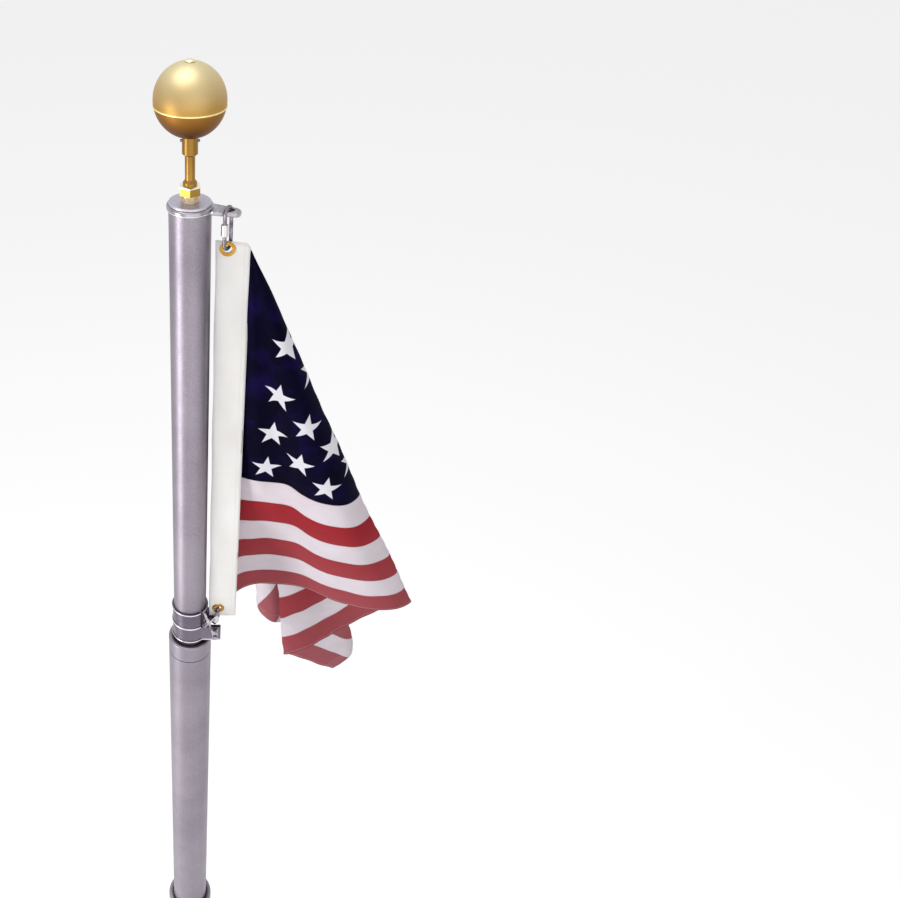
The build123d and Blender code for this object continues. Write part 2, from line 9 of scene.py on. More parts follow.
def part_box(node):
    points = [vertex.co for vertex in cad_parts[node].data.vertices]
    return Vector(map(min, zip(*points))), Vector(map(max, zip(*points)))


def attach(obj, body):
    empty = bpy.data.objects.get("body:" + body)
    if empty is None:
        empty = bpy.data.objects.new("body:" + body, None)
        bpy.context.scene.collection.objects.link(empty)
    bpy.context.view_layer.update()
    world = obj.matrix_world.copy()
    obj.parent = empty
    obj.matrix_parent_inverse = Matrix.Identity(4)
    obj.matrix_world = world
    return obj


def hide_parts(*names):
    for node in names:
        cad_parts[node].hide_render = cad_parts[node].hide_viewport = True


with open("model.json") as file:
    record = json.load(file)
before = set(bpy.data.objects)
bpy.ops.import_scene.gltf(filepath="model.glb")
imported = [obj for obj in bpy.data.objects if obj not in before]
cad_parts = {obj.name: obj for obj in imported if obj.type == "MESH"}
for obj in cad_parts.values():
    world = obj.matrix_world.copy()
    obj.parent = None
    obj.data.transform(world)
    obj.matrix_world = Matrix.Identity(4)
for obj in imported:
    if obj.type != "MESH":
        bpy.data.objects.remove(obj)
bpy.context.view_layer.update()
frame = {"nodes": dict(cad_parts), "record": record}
nodes = frame["nodes"]
print("frame loaded:", len(nodes), "nodes")


# Camera: straight over the flag's side, looking down along the pole

cameraSet = {
    "back": 0.979,          # metres from the pole's axis
    "aboveCap": 0.423,      # metres above the top cap
    "lookDown": 38.0,       # degrees
    "lens": 38.04,
    "poleColumn": 190,      # where the pole stands in the picture, in pixels
    "pictureWidth": 900,
}


def makeCamera():
    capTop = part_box("top_cap")[1].z
    data = bpy.data.cameras.new("photoCamera")
    data.lens = cameraSet["lens"]
    data.sensor_width = 36
    data.shift_x = 0.5 - cameraSet["poleColumn"] / cameraSet["pictureWidth"]
    data.clip_start = 0.05
    data.clip_end = 200
    camera = bpy.data.objects.new("photoCamera", data)
    camera.location = (0, -cameraSet["back"], capTop + cameraSet["aboveCap"])
    camera.rotation_euler = (math.radians(90 - cameraSet["lookDown"]), 0, 0)
    bpy.context.collection.objects.link(camera)
    bpy.context.scene.camera = camera


makeCamera()
bpy.context.scene.view_settings.view_transform = "Standard"
print("camera placed")


# Node helpers

def addNode(tree, kind, **settings):
    node = tree.nodes.new(kind)
    for key, value in settings.items():
        setattr(node, key, value)
    return node


def feed(tree, socket, value):
    # A socket gets a plain value or a link
    if isinstance(value, bpy.types.NodeSocket):
        tree.links.new(value, socket)
    else:
        socket.default_value = value


def calc(tree, operation, *values):
    node = addNode(tree, "ShaderNodeMath", operation=operation)
    for socket, value in zip(node.inputs, values):
        feed(tree, socket, value)
    return node.outputs[0]


def remap(tree, value, low, high, newLow=0.0, newHigh=1.0):
    node = addNode(tree, "ShaderNodeMapRange")
    for socket, given in zip(node.inputs, (value, low, high, newLow, newHigh)):
        feed(tree, socket, given)
    return node.outputs[0]


def mixColour(tree, share, first, second):
    node = addNode(tree, "ShaderNodeMix", data_type="RGBA")
    feed(tree, node.inputs["Factor"], share)
    feed(tree, node.inputs[6], first)
    feed(tree, node.inputs[7], second)
    return node.outputs[2]


def objectPlace(tree):
    return addNode(tree, "ShaderNodeTexCoord").outputs["Object"]


def stretched(tree, place, scale):
    node = addNode(tree, "ShaderNodeMapping")
    feed(tree, node.inputs["Vector"], place)
    node.inputs["Scale"].default_value = scale
    return node.outputs["Vector"]


def noise(tree, place, scale, detail=3.0, rough=0.55):
    node = addNode(tree, "ShaderNodeTexNoise")
    feed(tree, node.inputs["Vector"], place)
    feed(tree, node.inputs["Scale"], scale)
    node.inputs["Detail"].default_value = detail
    node.inputs["Roughness"].default_value = rough
    return node.outputs["Fac"]


def newGroup(name, inputs, outputs):
    group = bpy.data.node_groups.new(name, "ShaderNodeTree")
    for label, value in inputs.items():
        kind = "NodeSocketColor" if isinstance(value, tuple) else "NodeSocketFloat"
        socket = group.interface.new_socket(label, in_out="INPUT", socket_type=kind)
        socket.default_value = value
    for label, kind in outputs.items():
        group.interface.new_socket(label, in_out="OUTPUT", socket_type=kind)
    return group, addNode(group, "NodeGroupInput").outputs, addNode(group, "NodeGroupOutput").inputs


# Shared effects: drawn grain, handling marks, settled dust and woven threads

def makeDrawnGrain():
    # Fine lines left along the tube by drawing and brushing
    group, given, out = newGroup(
        "drawnGrain",
        {"Fineness": 900.0, "Stretch": 0.02},
        {"Lines": "NodeSocketFloat", "Bands": "NodeSocketFloat"},
    )
    parts = addNode(group, "ShaderNodeSeparateXYZ")
    feed(group, parts.inputs[0], objectPlace(group))
    flat = addNode(group, "ShaderNodeCombineXYZ")
    feed(group, flat.inputs[0], parts.outputs[0])
    feed(group, flat.inputs[1], parts.outputs[1])
    feed(group, flat.inputs[2], calc(group, "MULTIPLY", parts.outputs[2], given["Stretch"]))
    feed(group, out["Lines"], noise(group, flat.outputs[0], given["Fineness"], 4.0, 0.7))
    coarse = calc(group, "MULTIPLY", given["Fineness"], 0.08)
    feed(group, out["Bands"], noise(group, flat.outputs[0], coarse, 2.0))
    return group


def makeHandlingMarks():
    # Faint smears and small scratches on handled metal
    group, given, out = newGroup(
        "handlingMarks",
        {"Size": 22.0, "Scratches": 0.35},
        {"Smear": "NodeSocketFloat", "Scratch": "NodeSocketFloat"},
    )
    place = objectPlace(group)
    smear = noise(group, place, given["Size"], 5.0, 0.6)
    feed(group, out["Smear"], remap(group, smear, 0.35, 0.7))
    thin = noise(group, stretched(group, place, (60, 60, 900)), 1.0, 2.0)
    cut = remap(group, thin, 0.70, 0.76)
    feed(group, out["Scratch"], calc(group, "MULTIPLY", cut, given["Scratches"]))
    return group


def makeSettledDust():
    # Weathering that settles on faces turned upwards
    group, given, out = newGroup(
        "settledDust",
        {"Amount": 0.4, "Size": 120.0},
        {"Dust": "NodeSocketFloat"},
    )
    facing = addNode(group, "ShaderNodeSeparateXYZ")
    feed(group, facing.inputs[0], addNode(group, "ShaderNodeNewGeometry").outputs["Normal"])
    upward = remap(group, facing.outputs[2], 0.3, 1.0)
    speckle = remap(group, noise(group, objectPlace(group), given["Size"], 6.0, 0.7), 0.38, 0.72)
    cover = calc(group, "MULTIPLY", upward, speckle)
    feed(group, out["Dust"], calc(group, "MULTIPLY", cover, given["Amount"]))
    return group


def makeWovenThreads():
    # Plain weave read from a piece's own flat coordinates in metres
    group, given, out = newGroup(
        "wovenThreads",
        {"Threads per metre": 900.0, "Slub": 0.5},
        {"Height": "NodeSocketFloat", "Tone": "NodeSocketFloat"},
    )
    flat = addNode(group, "ShaderNodeUVMap", uv_map="flatCloth").outputs["UV"]
    parts = addNode(group, "ShaderNodeSeparateXYZ")
    feed(group, parts.inputs[0], flat)
    waves = []
    for axis in (0, 1):
        count = calc(group, "MULTIPLY", parts.outputs[axis], given["Threads per metre"])
        waves.append(calc(group, "SINE", calc(group, "MULTIPLY", count, math.pi)))
    weave = calc(group, "ABSOLUTE", calc(group, "MULTIPLY", waves[0], waves[1]))
    slub = noise(group, stretched(group, flat, (40, 700, 1)), 1.0, 3.0)
    slub = calc(group, "MULTIPLY", slub, given["Slub"])
    feed(group, out["Height"], calc(group, "ADD", weave, slub))
    feed(group, out["Tone"], noise(group, flat, 14.0, 4.0))
    return group


groups = {
    "drawnGrain": makeDrawnGrain(),
    "handlingMarks": makeHandlingMarks(),
    "settledDust": makeSettledDust(),
    "wovenThreads": makeWovenThreads(),
}


def useGroup(tree, name, **values):
    node = addNode(tree, "ShaderNodeGroup", node_tree=groups[name])
    for label, value in values.items():
        node.inputs[label.replace("_", " ")].default_value = value
    return node.outputs


def shaderOf(material):
    return next(node for node in material.node_tree.nodes if node.type == "BSDF_PRINCIPLED")


def newMaterial(name, **constants):
    # A material with one Principled BSDF and its plain values set on the shader itself
    material = bpy.data.materials.new(name)
    material.use_nodes = True
    tree = material.node_tree
    shader = shaderOf(material)
    for label, value in constants.items():
        shader.inputs[label.replace("_", " ")].default_value = value
    return material, tree, shader.inputs


def addBump(tree, sockets, height, strength, distance):
    bump = addNode(tree, "ShaderNodeBump")
    feed(tree, bump.inputs["Height"], height)
    bump.inputs["Strength"].default_value = strength
    bump.inputs["Distance"].default_value = distance
    tree.links.new(bump.outputs["Normal"], sockets["Normal"])


def rgb(red, green, blue):
    # A colour as the eye reads it, 0 to 255, turned into scene-linear light
    def linear(value):
        share = value / 255
        return share / 12.92 if share <= 0.04045 else ((share + 0.055) / 1.055) ** 2.4
    return (linear(red), linear(green), linear(blue), 1.0)


# Finishes

def metalFinish(name, light, dark, roughness, grain=None, marks=(22.0, 0.3), dust=0.25, bump=0.08,
                mottle=0.0, toneSize=9.0):
    # Metal with a slow change of tone, drawn lines, smears, scratches and settled dust
    material, tree, sockets = newMaterial(name, Metallic=1.0)
    handled = useGroup(tree, "handlingMarks", Size=marks[0], Scratches=marks[1])
    settled = useGroup(tree, "settledDust", Amount=dust)
    tone = noise(tree, objectPlace(tree), toneSize, 4.0)
    if mottle:
        speck = noise(tree, objectPlace(tree), 420.0, 5.0, 0.7)
        tone = calc(tree, "ADD", tone, calc(tree, "MULTIPLY", calc(tree, "SUBTRACT", speck, 0.5), mottle))
    colour = mixColour(tree, remap(tree, tone, 0.3, 0.7), dark, light)
    rough = calc(tree, "ADD", roughness, calc(tree, "MULTIPLY", handled["Smear"], 0.07))
    height = handled["Scratch"]
    if grain:
        lines = useGroup(tree, "drawnGrain", Fineness=grain[0], Stretch=grain[1])
        shade = remap(tree, lines["Lines"], 0.3, 0.7, 0.0, 0.22)
        colour = mixColour(tree, shade, colour, dark)
        rough = calc(tree, "ADD", rough, remap(tree, lines["Bands"], 0.3, 0.7, -0.04, 0.05))
        height = calc(tree, "ADD", height, lines["Lines"])
    colour = mixColour(tree, settled["Dust"], colour, rgb(176, 170, 160))
    rough = calc(tree, "ADD", rough, calc(tree, "MULTIPLY", settled["Dust"], 0.35))
    feed(tree, sockets["Base Color"], colour)
    feed(tree, sockets["Roughness"], rough)
    feed(tree, sockets["Metallic"], remap(tree, settled["Dust"], 0.0, 1.0, 1.0, 0.3))
    addBump(tree, sockets, height, bump, 0.0004)
    return material


def plasticFinish():
    material, tree, sockets = newMaterial("darkPlastic", Specular_IOR_Level=0.45)
    grain = noise(tree, objectPlace(tree), 1600.0, 4.0, 0.7)
    handled = useGroup(tree, "handlingMarks", Size=30.0, Scratches=0.5)
    settled = useGroup(tree, "settledDust", Amount=0.5)
    colour = mixColour(tree, handled["Smear"], rgb(38, 38, 41), rgb(52, 52, 56))
    feed(tree, sockets["Base Color"], mixColour(tree, settled["Dust"], colour, rgb(120, 116, 108)))
    feed(tree, sockets["Roughness"], remap(tree, grain, 0.3, 0.7, 0.42, 0.62))
    addBump(tree, sockets, grain, 0.2, 0.0003)
    return material


def tintBetween(material, share, colour):
    # Mixes a colour over what the material has, by a socket that runs from nought to one
    tree, socket = material.node_tree, shaderOf(material).inputs["Base Color"]
    feed(tree, socket, mixColour(tree, share, socket.links[0].from_socket, colour))


def poleSockets(tree):
    # Distance from the pole's axis, and height
    parts = addNode(tree, "ShaderNodeSeparateXYZ")
    feed(tree, parts.inputs[0], objectPlace(tree))
    away = calc(tree, "SQRT", calc(tree, "ADD", calc(tree, "POWER", parts.outputs[0], 2),
                                   calc(tree, "POWER", parts.outputs[1], 2)))
    return away, parts.outputs[2]


def levelLineTint(material, middle, half, colour, within=1.0):
    # A level line tinted another colour, up to a distance from the pole's axis: painted highlights on edges
    # and beads, and dark groove lines
    tree = material.node_tree
    away, height = poleSockets(tree)
    offset = calc(tree, "ABSOLUTE", calc(tree, "SUBTRACT", height, middle))
    share = calc(tree, "MULTIPLY", remap(tree, offset, half * 1.3, half * 0.7),
                 calc(tree, "LESS_THAN", away, within))
    tintBetween(material, share, colour)


# Painted shade on the collars' lips round the bore, and the dark groove line below each collar
collarShadeAndGroove = {
    "middleBore": 0.0241,       # radius of the bore that the inner tube slides through
    "baseBore": 0.0328,
    "shadeEnd": 0.0062,         # from the bore outward, where the painted shade on the lip ends and where it is full
    "shadeFull": 0.0016,
    "grooveRise": 0.0004,       # the groove's middle above the tube's end
    "grooveHalf": 0.0010,
}


def collarFinish(name, tube, bore):
    # Satin collar with painted shade on its lip round the bore, where the inner tube slides past it, and a
    # dark line in the groove below it
    material = metalFinish(name, rgb(158, 151, 161), rgb(134, 127, 138), 0.40, grain=(700.0, 1.0),
                           dust=0.10, mottle=0.5)
    tree = material.node_tree
    away = poleSockets(tree)[0]
    patches = remap(tree, noise(tree, objectPlace(tree), 260.0, 4.0), 0.3, 0.6, 0.75, 1.0)
    lip = remap(tree, away, bore + collarShadeAndGroove["shadeEnd"], bore + collarShadeAndGroove["shadeFull"])
    # Painted shade, in patches, on the collar's lip round the bore
    tintBetween(material, calc(tree, "MULTIPLY", lip, patches), rgb(46, 42, 54))
    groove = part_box(tube)[1].z + collarShadeAndGroove["grooveRise"]
    levelLineTint(material, groove, collarShadeAndGroove["grooveHalf"], rgb(58, 56, 68))
    return material


# Painted light on the ball: shade that deepens down each half, and a highlight on the seam bead
ballPaintedLight = {
    "drift": 0.010,             # how far the painted shade's change of tone wanders up and down
    "upperStart": 0.004,        # below the ball's top, where the upper half starts to deepen
    "upperEnd": 0.004,          # above the seam, where it is darkest
    "lowerEnd": 0.006,          # above the foot, where the lower half is darkest
    "beadDrop": 0.0005,
    "beadHalf": 0.0008,
}
ballFoot, ballSeam = (corner.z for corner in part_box("ball_lower_half"))
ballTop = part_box("ball_upper_half")[1].z


def ballFinishWithPaintedLight(name, start, end, light, dark):
    # Satin gold with painted shade that deepens downward, and a painted highlight on the bead where the two
    # halves meet
    material = metalFinish(name, light, light, 0.46, marks=(14.0, 0.1), dust=0.05, bump=0.02, mottle=0.2)
    tree = material.node_tree
    wander = calc(tree, "SUBTRACT", noise(tree, objectPlace(tree), 26.0, 3.0), 0.5)
    place = calc(tree, "ADD", poleSockets(tree)[1], calc(tree, "MULTIPLY", wander, ballPaintedLight["drift"]))
    # Painted shade, darker toward the bottom
    tintBetween(material, remap(tree, place, start, end), dark)
    # Painted highlight on the bead at the seam
    levelLineTint(material, ballSeam - ballPaintedLight["beadDrop"], ballPaintedLight["beadHalf"], rgb(246, 232, 176))
    return material


finishes = {
    "brushedTube": metalFinish("brushedTube", rgb(158, 150, 160), rgb(136, 128, 138), 0.42,
                               grain=(1100.0, 0.015), dust=0.05, bump=0.05, mottle=0.9),
    "middleCollar": collarFinish("middleCollar", "middle_tube", collarShadeAndGroove["middleBore"]),
    "baseCollar": collarFinish("baseCollar", "base_tube", collarShadeAndGroove["baseBore"]),
    "capMetal": metalFinish("capMetal", rgb(200, 196, 210), rgb(178, 174, 188), 0.42,
                            dust=0.06, mottle=0.7),
    "darkPlastic": plasticFinish(),
    "buttonSteel": metalFinish("buttonSteel", rgb(196, 196, 198), rgb(160, 161, 164), 0.22,
                               grain=(900.0, 1.0)),
    "goldStem": metalFinish("goldStem", rgb(164, 126, 62), rgb(116, 80, 34), 0.32,
                            marks=(60.0, 0.15), dust=0.03, bump=0.01),
    "wornNut": metalFinish("wornNut", rgb(174, 138, 66), rgb(130, 92, 40), 0.30,
                           marks=(60.0, 0.5), dust=0.04, bump=0.03),
    "bossMetal": metalFinish("bossMetal", rgb(226, 208, 172), rgb(196, 178, 144), 0.30,
                             marks=(80.0, 0.5), dust=0.1, mottle=0.6),
    # The two halves are a lit and a shaded copy of one gold: painted light, paler above the seam and darker
    # below
    "litBallUpper": ballFinishWithPaintedLight("litBallUpper", ballTop - ballPaintedLight["upperStart"], ballSeam + ballPaintedLight["upperEnd"],
                            rgb(220, 206, 164), rgb(182, 144, 78)),
    "shadedBallLower": ballFinishWithPaintedLight("shadedBallLower", ballSeam, ballFoot + ballPaintedLight["lowerEnd"],
                            rgb(152, 106, 46), rgb(92, 52, 20)),
    "plugMetal": metalFinish("plugMetal", rgb(250, 244, 214), rgb(236, 226, 184), 0.35,
                             marks=(60.0, 0.3), dust=0.02),
    "castSilver": metalFinish("castSilver", rgb(182, 178, 184), rgb(128, 125, 133), 0.26,
                              marks=(70.0, 0.15), dust=0.05, bump=0.01, toneSize=90.0),
    "linkSteel": metalFinish("linkSteel", rgb(158, 150, 160), rgb(88, 80, 92), 0.22,
                             marks=(90.0, 0.3), dust=0.04, bump=0.03, mottle=0.3, toneSize=160.0),
    "clipSteel": metalFinish("clipSteel", rgb(214, 208, 216), rgb(112, 104, 116), 0.22,
                             marks=(90.0, 0.3), dust=0.03, bump=0.04, mottle=0.3, toneSize=170.0),
    "sleeveSteel": metalFinish("sleeveSteel", rgb(228, 224, 224), rgb(198, 193, 195), 0.32,
                               marks=(90.0, 0.5)),
    "bandMetal": metalFinish("bandMetal", rgb(134, 125, 138), rgb(96, 88, 101), 0.26,
                             grain=(500.0, 1.0), marks=(50.0, 0.5), dust=0.05, mottle=0.6),
    "grommetBrass": metalFinish("grommetBrass", rgb(206, 164, 70), rgb(150, 104, 36), 0.25,
                                marks=(120.0, 0.6), dust=0.05, mottle=0.8),
}

# Painted highlights: the nut's chamfer, the rolled beads and the ring's lower edge get bright lines, of which
# the middles lie so far below or above the piece's edge
paintedHighlights = {
    "nutDrop": 0.0004,
    "nutHalf": 0.0012,
    "beadRise": 0.0015,
    "joinRise": 0.0018,
    "beadHalf": 0.0010,
    "ringDrop": 0.0056,
    "ringHalf": 0.0009,
    "ringPast": 0.001,          # how far past the ring's radius the line still shows
}


def paintEdgeHighlights():
    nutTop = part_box("spindle_nut")[1].z
    # Painted highlight on the nut's top chamfer
    levelLineTint(finishes["wornNut"], nutTop - paintedHighlights["nutDrop"], paintedHighlights["nutHalf"], rgb(246, 240, 222))
    clampLow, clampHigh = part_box("lower_clamp_band")
    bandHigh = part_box("lower_swivel_band")[1]
    # Painted highlights on the bands' rolled beads
    for bead in (clampLow.z + paintedHighlights["beadRise"], clampHigh.z + paintedHighlights["joinRise"],
                 bandHigh.z - paintedHighlights["beadRise"]):
        levelLineTint(finishes["bandMetal"], bead, paintedHighlights["beadHalf"], rgb(226, 218, 226))
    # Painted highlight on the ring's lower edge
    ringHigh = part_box("upper_swivel_ring")[1]
    levelLineTint(finishes["castSilver"], ringHigh.z - paintedHighlights["ringDrop"], paintedHighlights["ringHalf"], rgb(246, 244, 246),
             within=ringHigh.y + paintedHighlights["ringPast"])


paintEdgeHighlights()
slotFinish = {
    "brushed_tube": "brushedTube", "cap_metal": "capMetal", "dark_plastic": "darkPlastic",
    "button_steel": "buttonSteel", "gold_stem": "goldStem", "boss_metal": "bossMetal",
    "gold_ball": "litBallUpper", "cast_silver": "castSilver", "link_steel": "linkSteel",
    "band_metal": "bandMetal", "grommet_brass": "grommetBrass",
}
# Nodes whose finish differs within their slot
nodeFinish = {
    "middle_guide_collar": "middleCollar", "base_guide_collar": "baseCollar",
    "upper_link_sleeve": "sleeveSteel", "lower_link_sleeve": "sleeveSteel",
    "cross_clip": "clipSteel", "clamp_bolts": "clipSteel",
    "ball_lower_half": "shadedBallLower", "ball_top_plug": "plugMetal", "spindle_nut": "wornNut",
}
print("finishes made:", len(finishes))


def finishFrameNodes():
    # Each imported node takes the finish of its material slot
    for part in frame["record"]["subparts"]:
        finish = nodeFinish.get(part["node"]) or slotFinish.get(part["material_slot"])
        if finish:
            slots = nodes[part["node"]].data.materials
            slots.clear()
            slots.append(finishes[finish])


finishFrameNodes()


# Making pieces

def makePiece(name, points, faces, material, body, flat):
    # A mesh piece in the frame's own place, riding on a body; flat holds its points on the uncut cloth
    mesh = bpy.data.meshes.new(name)
    mesh.from_pydata([tuple(point) for point in points], [], faces)
    mesh.update()
    mesh.polygons.foreach_set("use_smooth", [True] * len(mesh.polygons))
    layer = mesh.uv_layers.new(name="flatCloth")
    corners = np.empty(len(mesh.loops), dtype=np.int32)
    mesh.loops.foreach_get("vertex_index", corners)
    layer.data.foreach_set("uv", np.asarray(flat, dtype=np.float32)[corners].ravel())
    mesh.materials.append(material)
    piece = bpy.data.objects.new(name, mesh)
    bpy.context.collection.objects.link(piece)
    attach(piece, body)
    return piece


# The flag's cloth: rays from its upper corner, swung from straight down at the header out to the top hem

flag = {
    "hoist": 0.610,
    "fly": 0.877,                # from the header's edge to the free end
    "cornerIn": 0.0018,          # from the header's edge to the cloth's corner
    "thickness": 0.0005,
    "rays": 300,
    "levels": 120,
    "cantonDepth": 0.575,        # share of the hoist
    "cantonWidth": 0.461,
    "starSize": 0.0205,          # from a star's middle to its tip
    "starColumns": ((0.0185, 0.0415), (0.0371, 0.0353)),   # start and pitch by the header and further out
    "rowEase": 0.2,              # how much wider the upper rows stand than the lower ones
    "starBlur": 0.0003,
    "crease": 0.0009,            # height of the small creases
    "cornerDrop": 0.009,         # how far below the header's top the cloth starts
    "cornerEase": 0.055,
    "fadeDown": (0.39, 0.61),    # where the red starts to fade and is palest, down the hoist
    "fadeOut": (0.45, 0.75),     # and out along the fly
}

# Places passed by the unit direction of the rays: sideways and backward, for one metre down
foldPlaces = [
    (0.0, 0.0), (0.0, 0.07), (0.06, 0.10), (0.12, 0.103), (0.175, 0.098), (0.23, 0.067), (0.31, 0.042),
    (0.395, 0.049), (0.435, 0.10), (0.31, 0.15), (0.17, 0.17), (0.115, 0.20), (0.20, 0.225), (0.25, 0.24),
    (0.25, 0.28), (0.18, 0.30), (0.10, 0.275), (0.07, 0.32), (0.16, 0.37), (0.15, 0.43), (0.05, 0.42),
    (-0.02, 0.43),
]
# The belly toward the viewer: ray angle in degrees and share of the hoist
bellyPlaces = [(0, 0.0), (10, 0.059), (24, 0.085), (38, 0.02), (55, 0.0), (90, 0.0)]


def smoothCurve(places, steps=40):
    padded = [places[0], *places, places[-1]]
    found = []
    for a, b, c, d in zip(padded, padded[1:], padded[2:], padded[3:]):
        for step in range(steps):
            t = step / steps
            found.append([
                q + ((r - p) * t + (2 * p - 5 * q + 4 * r - s) * t ** 2
                     + (3 * q - p - 3 * r + s) * t ** 3) / 2
                for p, q, r, s in zip(a, b, c, d)
            ])
    found.append(list(places[-1]))
    return np.array(found)


def foldDirections(angles):
    # Unit directions of the rays, spaced so that the angle between rays stays what it is in the flat cloth
    track = smoothCurve(foldPlaces)
    rays = np.column_stack([track, -np.ones(len(track))])
    rays /= np.linalg.norm(rays, axis=1)[:, None]
    turns = np.arccos(np.clip((rays[1:] * rays[:-1]).sum(axis=1), -1, 1))
    run = np.concatenate([[0], np.cumsum(turns)])
    run *= math.pi / 2 / run[-1]
    found = np.column_stack([np.interp(angles, run, rays[:, axis]) for axis in range(3)])
    return found / np.linalg.norm(found, axis=1)[:, None]


def bellyAt(angles):
    turns = np.degrees(angles)
    found = np.zeros_like(turns)
    for (before, low), (after, high) in zip(bellyPlaces, bellyPlaces[1:]):
        inside = (turns >= before) & (turns <= after)
        ease = (1 - np.cos(math.pi * (turns[inside] - before) / (after - before))) / 2
        found[inside] = flag["hoist"] * (low + (high - low) * ease)
    return found


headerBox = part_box("flag_header")
clothCorner = np.array([headerBox[1].x + flag["cornerIn"], (headerBox[0].y + headerBox[1].y) / 2,
                        headerBox[1].z])
cornerTurn = math.atan2(flag["fly"], flag["hoist"])


def clothReach(angles):
    straight = np.where(angles < cornerTurn, flag["hoist"] / np.maximum(np.cos(angles), 1e-6), 0)
    return np.where(angles < cornerTurn, straight, flag["fly"] / np.maximum(np.sin(angles), 1e-6))


def ripple(u, v):
    # Small creases that run with the folds and die out at the hoist
    calm = np.clip(u / 0.05, 0, 1) * np.clip(np.hypot(u, v) / 0.25, 0, 1)
    lean = 0.75 * u + 0.25 * v
    soft = (
        0.9 * np.sin(61 * lean + 2.1 * np.sin(7 * v))
        + 0.6 * np.sin(113 * (u - 0.35 * v) + 1.3)
        + 0.35 * np.sin(190 * (0.3 * u + v) + 2.4 * np.sin(23 * u))
    )
    return flag["crease"] * calm * soft


def clothPlace(u, v):
    # Where a point of the flat cloth hangs; u runs along the fly and v down the hoist
    u, v = np.broadcast_arrays(np.asarray(u, float), np.asarray(v, float))
    angles = np.arctan2(u, v)
    reach = clothReach(angles)
    share = np.clip(np.hypot(u, v) / reach, 0, 1)
    belly = bellyAt(angles)
    drawnIn = 1 - (math.pi * belly / (2 * reach)) ** 2
    directions = foldDirections(angles.ravel()).reshape(*u.shape, 3)
    place = clothCorner + directions * (reach * share * drawnIn)[..., None]
    place[..., 1] -= belly * np.sin(math.pi * share)
    place[..., 2] -= flag["cornerDrop"] * np.exp(-(np.hypot(u, v) / flag["cornerEase"]) ** 2)
    return place


def clothSurface(u, v, lift=0.0):
    # Place and outward normal, found from two close neighbours, with the small creases added
    step = 0.0012
    u, v = np.broadcast_arrays(np.asarray(u, float), np.asarray(v, float))
    safeU = np.clip(u, step, flag["fly"] - step)
    safeV = np.clip(v, step, flag["hoist"] - step)
    alongFly = clothPlace(safeU + step, safeV) - clothPlace(safeU - step, safeV)
    downHoist = clothPlace(safeU, safeV + step) - clothPlace(safeU, safeV - step)
    normal = np.cross(downHoist, alongFly)
    normal /= np.maximum(np.linalg.norm(normal, axis=-1), 1e-12)[..., None]
    return clothPlace(u, v) + normal * (ripple(u, v) + lift)[..., None], normal


def starGrid(tree, u, v):
    # One inside a star and nought outside, on a staggered grid of eleven columns and nine rows
    (nearStart, nearPitch), (farStart, farPitch) = flag["starColumns"]
    ease = flag["rowEase"]
    depth = flag["hoist"] * flag["cantonDepth"]
    x = calc(tree, "MAXIMUM", calc(tree, "DIVIDE", calc(tree, "SUBTRACT", u, nearStart), nearPitch),
             calc(tree, "DIVIDE", calc(tree, "SUBTRACT", u, farStart), farPitch))
    # A row's depth is (1 + ease) w - ease w w, so the row of a depth is the root of that
    under = calc(tree, "SUBTRACT", (1 + ease) ** 2, calc(tree, "MULTIPLY", v, 4 * ease / depth))
    y = calc(tree, "MULTIPLY", calc(tree, "SUBTRACT", 1 + ease, calc(tree, "SQRT", under)), 5 / ease)
    p = calc(tree, "ROUND", calc(tree, "MULTIPLY", calc(tree, "ADD", x, y), 0.5))
    q = calc(tree, "ROUND", calc(tree, "MULTIPLY", calc(tree, "SUBTRACT", x, y), 0.5))
    column = calc(tree, "ADD", p, q)
    row = calc(tree, "SUBTRACT", p, q)
    starU = calc(tree, "MINIMUM", calc(tree, "ADD", calc(tree, "MULTIPLY", column, nearPitch), nearStart),
                 calc(tree, "ADD", calc(tree, "MULTIPLY", column, farPitch), farStart))
    share = calc(tree, "MULTIPLY", row, 0.1)
    starV = calc(tree, "MULTIPLY", calc(tree, "MULTIPLY", share, depth),
                 calc(tree, "SUBTRACT", 1 + ease, calc(tree, "MULTIPLY", share, ease)))
    across = calc(tree, "SUBTRACT", u, starU)
    down = calc(tree, "SUBTRACT", v, starV)
    away = calc(tree, "SQRT", calc(tree, "ADD", calc(tree, "POWER", across, 2),
                                   calc(tree, "POWER", down, 2)))
    # The turn from the upper tip, folded to the nearest tip
    turn = calc(tree, "ARCTAN2", across, calc(tree, "MULTIPLY", down, -1))
    nearest = calc(tree, "ABSOLUTE", calc(tree, "WRAP", turn, math.pi / 5, -math.pi / 5))
    edge = calc(tree, "MULTIPLY", away, calc(tree, "SINE", calc(tree, "ADD", nearest, math.pi / 10)))
    limit = flag["starSize"] * math.sin(math.pi / 10)
    inside = remap(tree, edge, limit + flag["starBlur"], limit - flag["starBlur"])
    for value, low, high in ((column, 0.5, 11.5), (row, 0.5, 9.5)):
        inside = calc(tree, "MULTIPLY", inside, calc(tree, "GREATER_THAN", value, low))
        inside = calc(tree, "MULTIPLY", inside, calc(tree, "LESS_THAN", value, high))
    return inside


